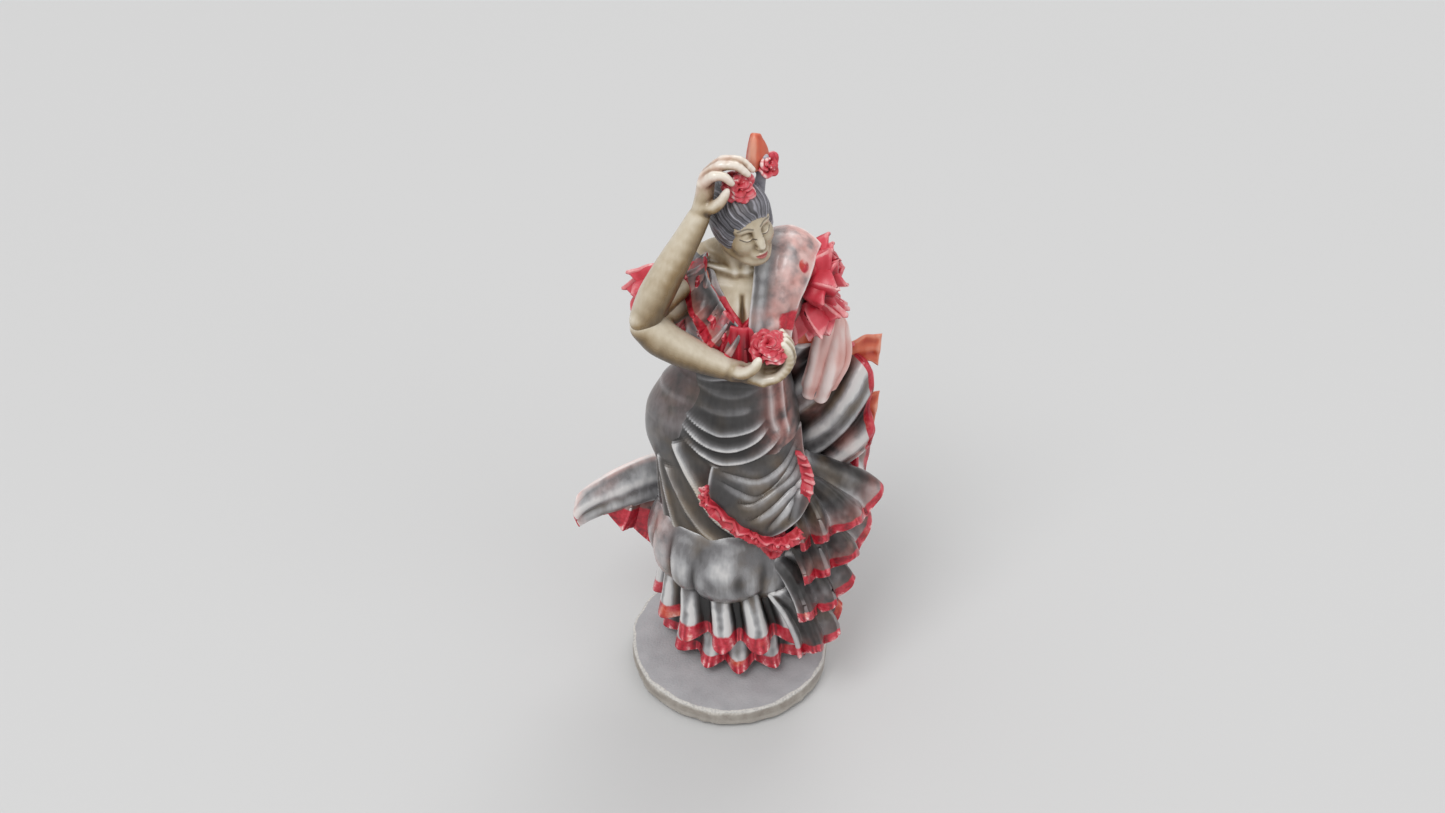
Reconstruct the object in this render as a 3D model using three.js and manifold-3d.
// Flamenco dancer figurine: resin castings glued and pinned together, screwed to a round plinth.
// Millimetres, +Z up, the dancer faces -Y. The origin is the middle of the felt pad's underside.
import * as THREE from "three";
import { mergeVertices } from "three/addons/utils/BufferGeometryUtils.js";
import Module from "manifold-3d";

const wasm = await Module();
wasm.setup();

// ---- Driving dimensions -------------------------------------------------------------------
const GAP = 0.3; // glue line or clearance between neighbouring pieces
const STATURE = 240; // plinth top to the top of the raised hand
const PLINTH_RADIUS = 41.5;
const PLINTH_THICKNESS = 8.5;
const PLINTH_CHAMFER = 0.8;
const PLINTH_WANDER = 0.7; // how far the hewn rim strays from a circle
const FELT_INSET = 4.5; // how far the felt stays back from the plinth's edge
const FELT_THICKNESS = 1.2;
const SCREW_RADIUS = 2.4;
const SCREW_HEAD_RADIUS = 4.6;
const SCREW_HEAD_HEIGHT = 2.6;
const SCREW_GRIP = 9; // length of screw inside the casting
const WASHER_RADIUS = 6;
const WASHER_THICKNESS = 1;
const COUNTERBORE_DEPTH = 4.2;
const INSERT_WALL = 1.4;
const CLOTH = 1.8; // wall of the cast frills and drapes
const HEAVY_CLOTH = 2.6; // wall of the train and the lifted skirt
const DOWEL_RADIUS = 1.2;
const DOWEL_REACH = 6; // length of a dowel on each side of its joint
const ARM_FULLNESS = 1; // multiplies the thickness of both arms

// ---- Derived places -----------------------------------------------------------------------
const MASTER_STATURE = 240; // the sculptor's model, in whose millimetres the figure below is written
const S = STATURE / MASTER_STATURE;
const PLINTH_BOTTOM = FELT_THICKNESS + GAP;
const PLINTH_TOP = PLINTH_BOTTOM + PLINTH_THICKNESS;
const FOOT = PLINTH_TOP + GAP;
const SKIRT_X = 4 * S; // the skirt's middle over the plinth, where the fixing screw goes in
const SKIRT_Y = 6 * S;

// A point of the figure: x and y from the plinth's middle, h above the plinth's top face.
const at = (x, y, h) => new THREE.Vector3(x * S, y * S, FOOT + h * S);
const points = (list) => list.map((p) => at(...p));

// ---- Solids -------------------------------------------------------------------------------
// A closed geometry from vertices and triangles.
function closedGeometry(vertices, triangles) {
  const geometry = new THREE.BufferGeometry().setFromPoints(vertices);
  geometry.setIndex(triangles);
  return geometry;
}

// A grid of points, rows x columns, skinned between its rows. Each row is a closed loop.
function skinLoops(rows) {
  const sides = rows[0].length;
  const vertices = rows.flat();
  const triangles = [];
  for (let i = 0; i + 1 < rows.length; i++)
    for (let j = 0; j < sides; j++) {
      const [a, b] = [i * sides + j, i * sides + ((j + 1) % sides)];
      triangles.push(a, b, b + sides, a, b + sides, a + sides);
    }
  for (const [first, flip] of [[0, true], [(rows.length - 1) * sides, false]]) {
    const loop = vertices.slice(first, first + sides);
    const middle = loop.reduce((sum, p) => sum.add(p), new THREE.Vector3());
    vertices.push(middle.divideScalar(sides));
    const hub = vertices.length - 1;
    for (let j = 0; j < sides; j++) {
      const [a, b] = [first + j, first + ((j + 1) % sides)];
      triangles.push(...(flip ? [hub, b, a] : [hub, a, b]));
    }
  }
  return closedGeometry(vertices, triangles);
}

// A body of level oval sections: each is [height, x, y, half width, half depth].
function ovalLoft(sections, sides = 20) {
  return skinLoops(
    sections.map(([h, x, y, halfWidth, halfDepth]) =>
      Array.from({ length: sides }, (_, j) => {
        const a = (2 * Math.PI * j) / sides;
        return at(x + halfWidth * Math.cos(a), y + halfDepth * Math.sin(a), h);
      }),
    ),
  );
}

// A limb: a smooth path with a radius at each of its points.
function limb(path, radii, sides = 8, steps = 12) {
  const curve = new THREE.CatmullRomCurve3(points(path));
  const frames = curve.computeFrenetFrames(steps, false);
  const rows = Array.from({ length: steps + 1 }, (_, i) => {
    const along = (i / steps) * (radii.length - 1);
    const k = Math.min(Math.floor(along), radii.length - 2);
    const radius = S * THREE.MathUtils.lerp(radii[k], radii[k + 1], along - k);
    const middle = curve.getPoint(i / steps);
    return Array.from({ length: sides }, (_, j) => {
      const a = (2 * Math.PI * j) / sides;
      return middle
        .clone()
        .addScaledVector(frames.normals[i], radius * Math.cos(a))
        .addScaledVector(frames.binormals[i], radius * Math.sin(a));
    });
  });
  return skinLoops(rows);
}

// Cloth between lines that run from its root to its free edge, with pleats that open towards
// the edge. Each line is a list of points; a closed cloth goes all the way round.
function cloth(lines, { steps = 20, across = 4, wall = CLOTH, pleats = 0, depth = 0, closed = false }) {
  const curves = lines.map((l) => new THREE.CatmullRomCurve3(points(l), closed));
  const columns = closed ? steps : steps + 1;
  const spot = (u, v) => {
    if (curves.length === 2) return curves[0].getPoint(u).lerp(curves[1].getPoint(u), v);
    return new THREE.CatmullRomCurve3(curves.map((c) => c.getPoint(u))).getPoint(v);
  };
  const normalAt = (u, v) => {
    const e = 0.01;
    const wrap = (t) => (closed ? (t + 1) % 1 : THREE.MathUtils.clamp(t, 0, 1));
    const du = spot(wrap(u + e), v).sub(spot(wrap(u - e), v));
    const dv = spot(u, Math.min(v + e, 1)).sub(spot(u, Math.max(v - e, 0)));
    return du.cross(dv).normalize();
  };
  const faces = [1, -1].map((side) =>
    Array.from({ length: columns }, (_, i) =>
      Array.from({ length: across + 1 }, (_, j) => {
        const [u, v] = [i / steps, j / across];
        const pleat = depth * S * v * Math.sin(2 * Math.PI * pleats * u);
        return spot(u, v).addScaledVector(normalAt(u, v), pleat + (side * wall) / 2);
      }),
    ),
  );
  const sections = faces[0].map((outer, i) => [...outer, ...faces[1][i].reverse()]);
  if (!closed) return skinLoops(sections);
  const size = sections[0].length;
  const triangles = [];
  sections.forEach((_, i) => {
    const next = ((i + 1) % columns) * size;
    for (let j = 0; j < size; j++) {
      const [a, b] = [i * size + j, i * size + ((j + 1) % size)];
      const [c, d] = [next + ((j + 1) % size), next + j];
      triangles.push(a, b, c, a, c, d);
    }
  });
  return closedGeometry(sections.flat(), triangles);
}

// An oval ring of cloth points at height h, for a frill that goes all the way round.
const ovalLine = (h, x, y, halfWidth, halfDepth, count = 12) =>
  Array.from({ length: count }, (_, i) => {
    const a = (2 * Math.PI * i) / count;
    return [x + halfWidth * Math.cos(a), y + halfDepth * Math.sin(a), h];
  });

// A ring of points square to an axis, for a sleeve's frill.
function ringLine(middle, axis, radius, count = 8) {
  const turn = new THREE.Quaternion().setFromUnitVectors(
    new THREE.Vector3(0, 0, 1),
    new THREE.Vector3(...axis).normalize(),
  );
  return Array.from({ length: count }, (_, i) => {
    const a = (2 * Math.PI * i) / count;
    const spoke = new THREE.Vector3(radius * Math.cos(a), radius * Math.sin(a), 0).applyQuaternion(turn);
    return [middle[0] + spoke.x, middle[1] + spoke.y, middle[2] + spoke.z];
  });
}

// An oval ball with an optional lobed surface.
function ball(middle, radii, lobes = 0, lobeDepth = 0, segments = 12) {
  const geometry = new THREE.SphereGeometry(1, segments, Math.round(segments * 0.6));
  const spot = geometry.getAttribute("position");
  const centre = at(...middle);
  for (let i = 0; i < spot.count; i++) {
    const p = new THREE.Vector3().fromBufferAttribute(spot, i);
    const swell = 1 + lobeDepth * Math.sin(lobes * Math.atan2(p.y, p.x)) * (1 - p.z * p.z);
    p.multiplyScalar(swell).multiply(new THREE.Vector3(...radii).multiplyScalar(S)).add(centre);
    spot.setXYZ(i, p.x, p.y, p.z);
  }
  return geometry;
}

// A turned piece on a vertical axis: [radius, height] outline, closed on the axis or on itself.
function turned(outline, x, y, segments = 20) {
  const profile = outline.map(([r, z]) => new THREE.Vector2(r, z));
  return new THREE.LatheGeometry(profile, segments).rotateX(Math.PI / 2).translate(x, y, 0);
}

// A straight round rod from one point to another.
function rod(from, to, radius, sides = 12) {
  const span = to.clone().sub(from);
  const geometry = new THREE.CylinderGeometry(radius, radius, span.length(), sides);
  const turn = new THREE.Quaternion().setFromUnitVectors(
    new THREE.Vector3(0, 1, 0),
    span.clone().normalize(),
  );
  return geometry.applyQuaternion(turn).translate(...from.clone().lerp(to, 0.5).toArray());
}

// ---- Booleans -----------------------------------------------------------------------------
// The geometry with shared vertices merged and its faces turned outwards.
function merged(geometry) {
  const bare = geometry.clone();
  bare.deleteAttribute("normal");
  bare.deleteAttribute("uv");
  const g = mergeVertices(bare, 1e-3);
  const [spot, index] = [g.getAttribute("position"), [...g.index.array]];
  const corner = (i) => new THREE.Vector3().fromBufferAttribute(spot, index[i]);
  let volume = 0;
  for (let i = 0; i < index.length; i += 3) volume += corner(i).dot(corner(i + 1).cross(corner(i + 2)));
  if (volume < 0) g.setIndex(index.reverse());
  return g;
}

function manifoldOf(geometry) {
  const g = merged(geometry);
  return new wasm.Manifold(
    new wasm.Mesh({
      numProp: 3,
      vertProperties: new Float32Array(g.attributes.position.array),
      triVerts: new Uint32Array(g.index.array),
    }),
  );
}

// The same shape swollen by the glue gap, to cut a seat for it.
function swollen(geometry, gap = GAP) {
  const g = merged(geometry);
  g.computeVertexNormals();
  const [spot, normal] = [g.getAttribute("position"), g.getAttribute("normal")];
  const corner = 1.4; // a vertex on an edge has to move further than a face does
  for (let i = 0; i < spot.count; i++) {
    const p = new THREE.Vector3().fromBufferAttribute(spot, i);
    p.addScaledVector(new THREE.Vector3().fromBufferAttribute(normal, i), gap * corner);
    spot.setXYZ(i, p.x, p.y, p.z);
  }
  return manifoldOf(g);
}

const biggest = (solid) =>
  solid.decompose().reduce((best, body) => (body.volume() > best.volume() ? body : best));

function geometryOf(solid) {
  const mesh = solid.getMesh();
  const vertices = new Float32Array(mesh.numVert * 3);
  for (let i = 0; i < mesh.numVert; i++)
    vertices.set(mesh.vertProperties.subarray(i * mesh.numProp, i * mesh.numProp + 3), i * 3);
  return new THREE.BufferGeometry()
    .setAttribute("position", new THREE.BufferAttribute(vertices, 3))
    .setIndex(new THREE.BufferAttribute(mesh.triVerts, 1));
}

// ---- Paints and metals --------------------------------------------------------------------
const paint = (color, roughness, metalness = 0) =>
  new THREE.MeshStandardMaterial({ color, roughness, metalness });
const materials = {
  stone: paint(0x9b9b9d, 0.75),
  felt: paint(0x2f3a33, 0.95),
  steel: paint(0xb4b6b8, 0.3, 1),
  brass: paint(0xb08d4a, 0.35, 1),
  gown: paint(0x5a5859, 0.45),
  trim: paint(0xc02c38, 0.45),
  blush: paint(0xc98a84, 0.5),
  skin: paint(0xc9bfae, 0.4),
  hair: paint(0x4a4a52, 0.45),
};

// ---- Pieces -------------------------------------------------------------------------------
// Hardware keeps the clearances it is drawn with. A casting is cut back, by the glue gap, from
// every piece listed before it that it would meet.
const pieces = [];
const hardware = (name, material, raw) => pieces.push({ name, material, raw, fitted: false });
const casting = (name, material, raw, ownCuts = (solid) => solid) =>
  pieces.push({ name, material, raw: geometryOf(ownCuts(manifoldOf(raw))), fitted: true });

// Plinth, felt and fixing
function plinthGeometry() {
  const count = 32;
  const rim = Array.from({ length: count }, (_, i) => {
    const a = (2 * Math.PI * i) / count;
    const hewn = Math.sin(5 * a + 1) * 0.5 + Math.sin(11 * a) * 0.35 + Math.sin(17 * a + 2) * 0.15;
    const r = PLINTH_RADIUS - PLINTH_CHAMFER + PLINTH_WANDER * hewn;
    return new THREE.Vector2(r * Math.cos(a), r * Math.sin(a));
  });
  return new THREE.ExtrudeGeometry(new THREE.Shape(rim), {
    depth: PLINTH_THICKNESS - 2 * PLINTH_CHAMFER,
    bevelThickness: PLINTH_CHAMFER,
    bevelSize: PLINTH_CHAMFER,
    bevelSegments: 1,
  }).translate(0, 0, PLINTH_BOTTOM + PLINTH_CHAMFER);
}
const feltRadius = PLINTH_RADIUS - FELT_INSET;
const insertRadius = SCREW_RADIUS + GAP + INSERT_WALL;
const boreRadius = SCREW_RADIUS + GAP;
const washerTop = PLINTH_BOTTOM + COUNTERBORE_DEPTH - GAP;
const seatedHead = washerTop - WASHER_THICKNESS - GAP;
const past = 5; // how far a cutting tool runs past the face it enters
const bore = (radius, low, high) =>
  rod(new THREE.Vector3(SKIRT_X, SKIRT_Y, low), new THREE.Vector3(SKIRT_X, SKIRT_Y, high), radius, 20);

hardware("felt_pad", "felt", turned(
  [[0, 0], [feltRadius, 0], [feltRadius, FELT_THICKNESS], [0, FELT_THICKNESS]], 0, 0, 32));
hardware("plinth", "stone", geometryOf(
  manifoldOf(plinthGeometry())
    .subtract(manifoldOf(bore(boreRadius, 0, PLINTH_TOP + past)))
    .subtract(manifoldOf(bore(WASHER_RADIUS + GAP, 0, PLINTH_BOTTOM + COUNTERBORE_DEPTH))),
));
hardware("washer", "steel", turned([
  [boreRadius, washerTop - WASHER_THICKNESS], [WASHER_RADIUS, washerTop - WASHER_THICKNESS],
  [WASHER_RADIUS, washerTop], [boreRadius, washerTop],
  [boreRadius, washerTop - WASHER_THICKNESS]], SKIRT_X, SKIRT_Y));
hardware("fixing_screw", "steel", turned([
  [0, seatedHead - SCREW_HEAD_HEIGHT], [SCREW_HEAD_RADIUS, seatedHead - SCREW_HEAD_HEIGHT],
  [SCREW_HEAD_RADIUS, seatedHead], [SCREW_RADIUS, seatedHead],
  [SCREW_RADIUS, FOOT + SCREW_GRIP], [0, FOOT + SCREW_GRIP]], SKIRT_X, SKIRT_Y));
hardware("thread_insert", "brass", turned([
  [boreRadius, FOOT], [insertRadius, FOOT], [insertRadius, FOOT + SCREW_GRIP],
  [boreRadius, FOOT + SCREW_GRIP], [boreRadius, FOOT]], SKIRT_X, SKIRT_Y));

// Dowels that carry the joints: [joint, direction]
const dowels = {
  neck_dowel: [[3.6, -2, 212.5], [0, -0.1, 1]],
  waist_dowel: [[2.4, 3, 148], [0, 0, 1]],
  raised_arm_dowel: [[-16.5, -4.5, 194], [-0.6, -0.8, 0]],
  rose_arm_dowel: [[-17, -5.5, 181], [-0.6, -0.8, 0]],
};
for (const [name, [joint, way]] of Object.entries(dowels)) {
  const middle = at(...joint);
  const reach = new THREE.Vector3(...way).normalize().multiplyScalar(DOWEL_REACH);
  hardware(name, "steel", rod(middle.clone().sub(reach), middle.clone().add(reach), DOWEL_RADIUS));
}

// Gown, from the foot to the waist
const gownSections = [
  [0, 4, 8, 19, 16], [20, 3, 8, 22, 18], [40, 1, 7, 24.5, 20], [58, 0, 6, 26, 21],
  [80, -0.5, 5, 27, 21.5], [100, -1, 4.5, 27.5, 21.5], [115, -1.5, 4, 28.5, 21],
  [128, -0.5, 3.5, 26, 19], [140, 1.5, 3, 21.5, 16], [148, 2.3, 3, 19, 14],
];
const gownBlind = FOOT + SCREW_GRIP + GAP;
casting("gown_body", "gown", ovalLoft(gownSections), (solid) =>
  solid.subtract(manifoldOf(bore(insertRadius + GAP, 0, gownBlind))));
casting("hip_drape", "gown", cloth([
  [[-12, -13, 146], [-17, -6, 147], [-18, 3, 147], [-14, 13, 146]],
  [[-17, -18, 130], [-28, -8, 130], [-30, 4, 130], [-24, 16, 130]],
  [[-18, -19, 108], [-29, -9, 104], [-32, 4, 103], [-26, 17, 106]],
], { steps: 8, across: 3, pleats: 1, depth: 0.5 }));
casting("knee_yoke", "gown", cloth([
  ovalLine(67, 0, 6, 27, 22), ovalLine(56, 1, 6, 30.5, 25.5), ovalLine(46, 2, 7, 28, 24),
], { steps: 24, across: 2, pleats: 6, depth: 0.8, closed: true }));
casting("hem_flounce_upper", "gown", cloth([
  ovalLine(44, 2, 7, 27, 23), ovalLine(21, 6, 8, 34, 33),
], { steps: 44, across: 1, pleats: 11, depth: 2, closed: true }));
casting("hem_flounce_lower", "gown", cloth([
  ovalLine(24, 4, 8, 25, 22), ovalLine(3.6, 5, 8, 30, 29),
], { steps: 44, across: 1, pleats: 11, depth: 1.8, closed: true }));

// Apron swag across the front, with its frill, jabot and tassel
casting("apron_swag", "gown", cloth([
  [[-2, -18, 126], [8, -18, 126], [18, -15, 126], [26, -8, 124]],
  [[-6, -20, 116], [6, -21, 112], [18, -19, 108], [29, -12, 108]],
  [[-7, -22, 108], [5, -25, 99], [17, -26, 90], [30, -17, 90]],
], { steps: 10, across: 3, pleats: 2.5, depth: 0.8 }));
casting("apron_frill", "trim", cloth([
  [[-6, -23, 110], [5, -26.6, 101], [17, -27.8, 92], [28, -24, 98]],
  [[-9, -25, 107], [4, -28.5, 96], [17, -30, 86], [31, -26, 95]],
], { steps: 24, across: 1, pleats: 6, depth: 1.2 }));
casting("side_jabot", "trim", cloth([
  [[27, -15, 121], [27, -18, 113], [27, -20, 105]],
  [[31, -17, 121], [32, -21, 113], [30, -24, 102]],
], { steps: 14, across: 2, pleats: 3, depth: 1 }));
casting("swag_tassel", "trim", cloth([
  [[13, -20, 85], [17, -20, 86], [21, -19, 85]],
  [[13, -24, 74], [18, -25, 73], [23, -23, 77]],
], { steps: 10, across: 2, pleats: 2, depth: 0.8 }));

// Lifted side of the skirt: a cascade of four tiers below a fan with its own frill and crest
const tiers = [
  { low: 30, rise: 22, reach: 45, front: -16, back: 12 },
  { low: 45, rise: 22, reach: 50, front: -13, back: 16 },
  { low: 63, rise: 22, reach: 55, front: -11, back: 20 },
  { low: 80, rise: 20, reach: 57, front: -9, back: 24 },
];
tiers.forEach(({ low, rise, reach, front, back }, i) => {
  casting(`side_tier_${i + 1}`, "gown", cloth([
    [[18, front - 3, low + rise], [27, front + 8, low + rise + 1], [27, back - 2, low + rise]],
    [[28, front - 8, low + 6], [reach - 9, front + 6, low + 8], [reach - 12, back + 6, low + 8]],
    [[33, front - 9, low - 5], [reach - 1, front + 6, low], [reach - 6, back + 10, low + 2]],
  ], { steps: 16, across: 2, pleats: 4, depth: 1.6 }));
});
casting("lifted_fan", "gown", cloth([
  [[21, 8, 152], [24, 11, 136], [26, 13, 118], [27, 15, 102]],
  [[32, 9, 150], [37, 5, 132], [40, 6, 112], [40, 12, 98]],
  [[51, 18, 141], [53, 14, 122], [53, 13, 104], [50, 18, 92]],
], { steps: 20, across: 3, wall: HEAVY_CLOTH, pleats: 5, depth: 2.2 }));
casting("fan_frill", "trim", cloth([
  [[52, 17, 143], [54.5, 13, 122], [54.5, 12, 104], [51, 18, 91]],
  [[56, 19, 140], [57.5, 14, 121], [57.5, 13, 102], [54, 20, 89]],
], { steps: 24, across: 1, wall: HEAVY_CLOTH, pleats: 6, depth: 1.2 }));
casting("fan_crest", "blush", cloth([
  [[31, 10, 138], [37, 9, 137], [43, 10, 138]],
  [[32, 12, 149], [38, 11, 152], [46, 13, 149]],
  [[36.5, 15, 157], [38.5, 15.5, 158], [40.5, 15, 157]],
], { steps: 8, across: 3, wall: HEAVY_CLOTH }));
casting("waist_petal", "trim", cloth([
  [[22, 11, 146], [26, 12, 147], [30, 12, 147]],
  [[23, 12, 156], [27, 13, 157.5], [30, 13, 153]],
], { steps: 8, across: 2 }));

// Train: a wing swept out behind the left hip, its frilled underfold, and two back tiers
casting("train_wing", "gown", cloth([
  [[-22, 20, 86], [-25, 18, 78], [-24, 17, 66]],
  [[-42, 15, 84], [-44, 10, 76], [-43, 12, 64]],
  [[-62, 9, 75], [-63, 6, 66], [-60, 8, 56]],
], { steps: 10, across: 4, wall: HEAVY_CLOTH, pleats: 1.5, depth: 2.4 }));
casting("train_underfold", "trim", cloth([
  [[-22, 20, 61], [-28, 17, 66], [-36, 14, 65], [-46, 12, 67]],
  [[-24, 19, 40], [-32, 13, 43], [-41, 10, 51], [-51, 8, 62]],
], { steps: 16, across: 3, pleats: 4, depth: 1.8 }));
[{ low: 46, lift: 20 }, { low: 66, lift: 20 }].forEach(({ low, lift }, i) =>
  casting(`back_tier_${i + 1}`, "gown", cloth([
    [[-21, 20, low + lift], [-8, 27, low + lift + 1], [10, 27, low + lift + 1], [24, 19, low + lift]],
    [[-30, 31, low], [-11, 40, low], [14, 41, low], [36, 32, low]],
  ], { steps: 24, across: 1, pleats: 6, depth: 1.6 })));

// Torso: the bust is cast with the neck and stands in a socket in the bodice
const torsoSections = [
  [148 + GAP, 2.3, 3, 18.5, 13.5], [156, 2.5, 2, 17.5, 13], [166, 3, 1, 19, 15],
  [176, 3.5, 0, 21.5, 17.5], [186, 4, -0.5, 23, 17], [194, 4.5, 1, 22.5, 13.5],
  [199, 4.5, 2, 18, 10], [202, 4, 2, 12, 8.5],
];
const bustSections = [
  [168, 3.2, 0.5, 14, 10], [176, 3.5, 0, 18.3, 14.3], [186, 4, -0.5, 19.8, 14], [194, 4.5, 1, 19.3, 10.6],
  [199, 4.3, 1.8, 14, 7.4], [202, 3.5, 1, 8, 6.4], [206, 3, -0.5, 6, 6], [213, 3.6, -2, 5.6, 5.8],
];
const neckline = new THREE.Shape([[-9, 203], [4, 184], [17, 203]].map(
  ([x, h]) => new THREE.Vector2(at(x, 0, h).x, at(x, 0, h).z)));
const necklineCut = new THREE.ExtrudeGeometry(neckline, { depth: 30 * S, bevelEnabled: false })
  .rotateX(Math.PI / 2);
casting("bust", "skin", ovalLoft(bustSections, 14));
casting("bodice", "gown", ovalLoft(torsoSections, 18), (solid) =>
  solid.subtract(manifoldOf(necklineCut)));

// Arms
const thick = (radii) => radii.map((r) => r * ARM_FULLNESS);
const raisedPath = [
  [-15, -2, 194], [-23, -14, 194], [-29.5, -24, 192], [-23, -21, 206], [-15.5, -16.5, 219],
  [-8.5, -12, 232], [-6.5, -10, 239], [0, -7, 243], [6, -6.5, 240.5],
];
const rosePath = [
  [-15, -3, 181], [-22, -13, 180], [-27, -22, 181.5], [-13, -25.5, 178.5],
  [-1.3, -28, 174], [9, -28, 172], [17, -26.5, 175], [21.5, -23.5, 179.5],
];
casting("raised_arm", "skin", limb(raisedPath, thick([5.6, 5.6, 6, 5.8, 4.6, 3.4, 4, 3.6, 2.4])));
casting("rose_arm", "skin", limb(rosePath, thick([5.2, 5.2, 6, 5, 4.2, 4.6, 3.6, 2.4])));
casting("held_rose", "trim", ball([13, -28, 183], [6.8, 5.4, 6.2], 5, 0.08));

// Sleeves
casting("sleeve_cap_left", "gown", ball([23, 2, 194], [10, 9.5, 11.5], 3, 0.04));
casting("sleeve_cap_right", "gown", ball([-14, 2, 193], [8.5, 8, 9], 3, 0.04));
casting("sleeve_frill_left_upper", "trim", cloth([
  ringLine([29, 2, 193], [0.9, 0.1, -0.25], 8), ringLine([34.5, 3, 192], [0.9, 0.1, -0.25], 13.5),
], { steps: 24, across: 1, pleats: 6, depth: 2, closed: true }));
casting("sleeve_frill_left_lower", "trim", cloth([
  ringLine([27, 1, 184], [0.5, 0, -0.85], 7), ringLine([30.5, 1, 174], [0.5, 0, -0.85], 10.5),
], { steps: 24, across: 1, pleats: 6, depth: 1.6, closed: true }));
casting("sleeve_frill_right", "trim", cloth([
  ringLine([-19, 3, 184], [-0.5, 0, -0.85], 7), ringLine([-24.5, 2, 170], [-0.5, 0, -0.85], 11.5),
], { steps: 24, across: 1, pleats: 6, depth: 1.6, closed: true }));

// Neckline frills and shoulder shawl
casting("neck_frill", "trim", cloth([
  [[-9, -6, 203], [-8, -13, 197], [-3, -17.5, 190], [3, -18.5, 184]],
  [[-14, -8, 200], [-14, -15, 192], [-9, -20, 183], [-1, -21.5, 176]],
], { steps: 16, across: 1, pleats: 4, depth: 1.2 }));
const overlay = CLOTH + GAP; // the centre frill lies one cloth in front of the neck frill
casting("centre_frill", "trim", cloth([
  [[-2, -17.4 - overlay, 182], [3, -17.9 - overlay, 183], [9, -17.4 - overlay, 181]],
  [[-3, -19.4 - overlay, 172], [3, -19.9 - overlay, 172], [9, -18.9 - overlay, 173]],
], { steps: 12, across: 1, pleats: 3, depth: 1 }));
casting("shoulder_shawl", "gown", cloth([
  [[13, 8, 205], [10, 0, 205], [8, -11, 198], [7, -18, 188], [6, -20, 178]],
  [[22, 6, 209], [19, -3, 206], [16, -13, 196], [14, -19, 184], [13, -19, 172]],
  [[29, 3, 205], [26, -6, 200], [22, -14, 188], [20, -17, 177], [19, -16, 168]],
], { steps: 12, across: 4, pleats: 2, depth: 0.6 }));

// Head, hair and ornaments
const headMiddle = [4, -5, 219.5];
const skull = ball(headMiddle, [9.6, 11.4, 12.6], 0, 0, 14);
const jaw = ball([7.2, -9.5, 212.5], [6.6, 6.4, 6.6], 0, 0, 10);
const nose = ball([10, -16, 217], [1.4, 1.8, 2.2], 0, 0, 6);
const headRaw = geometryOf(manifoldOf(skull).add(manifoldOf(jaw)).add(manifoldOf(nose)));
casting("head", "skin", headRaw);
const hairFrom = at(5.5, -8.5, 222);
const faceWay = new THREE.Vector3(0.42, -0.78, -0.46).normalize();
const faceCut = rod(hairFrom, hairFrom.clone().addScaledVector(faceWay, 40 * S), 30 * S, 16);
casting("hair_cap", "hair", ball([3.6, -4.4, 220], [11.2, 12.8, 14], 0, 0, 14), (solid) =>
  solid.subtract(manifoldOf(faceCut)));
casting("hair_bun", "hair", ball([1, 9.5, 215], [6, 5, 6], 4, 0.05));
casting("hair_rose", "trim", ball([2.3, -10.5, 236], [5.8, 5, 5], 5, 0.1));
casting("comb", "hair", limb([[9, 1, 229], [10.5, 1.8, 234], [11.5, 2.5, 240]], [2.6, 1.7, 1.4], 8, 5));
casting("comb_flower_tall", "trim", cloth([
  [[6.5, 3.5, 237], [9, 4.5, 237], [11.5, 3.5, 238]],
  [[7.6, 4.5, 250], [8.4, 4.8, 250.5], [9.6, 4.5, 249]],
], { steps: 6, across: 3, wall: HEAVY_CLOTH }));
casting("comb_flower_low", "trim", ball([13.6, 2.4, 237.5], [4.4, 3.6, 4.8], 3, 0.12));

// ---- Assembly -----------------------------------------------------------------------------
const figurine = new THREE.Group();
const placed = [];
for (const { name, material, raw, fitted } of pieces) {
  raw.computeBoundingBox();
  const reach = raw.boundingBox.clone().expandByScalar(GAP);
  const near = fitted ? placed.filter((other) => other.boundingBox.intersectsBox(reach)) : [];
  const solid = near.reduce((left, other) => left.subtract(swollen(other)), manifoldOf(raw));
  placed.push(raw);
  const mesh = new THREE.Mesh(geometryOf(biggest(solid)), materials[material]);
  mesh.name = name;
  figurine.add(mesh);
}

export default figurine;
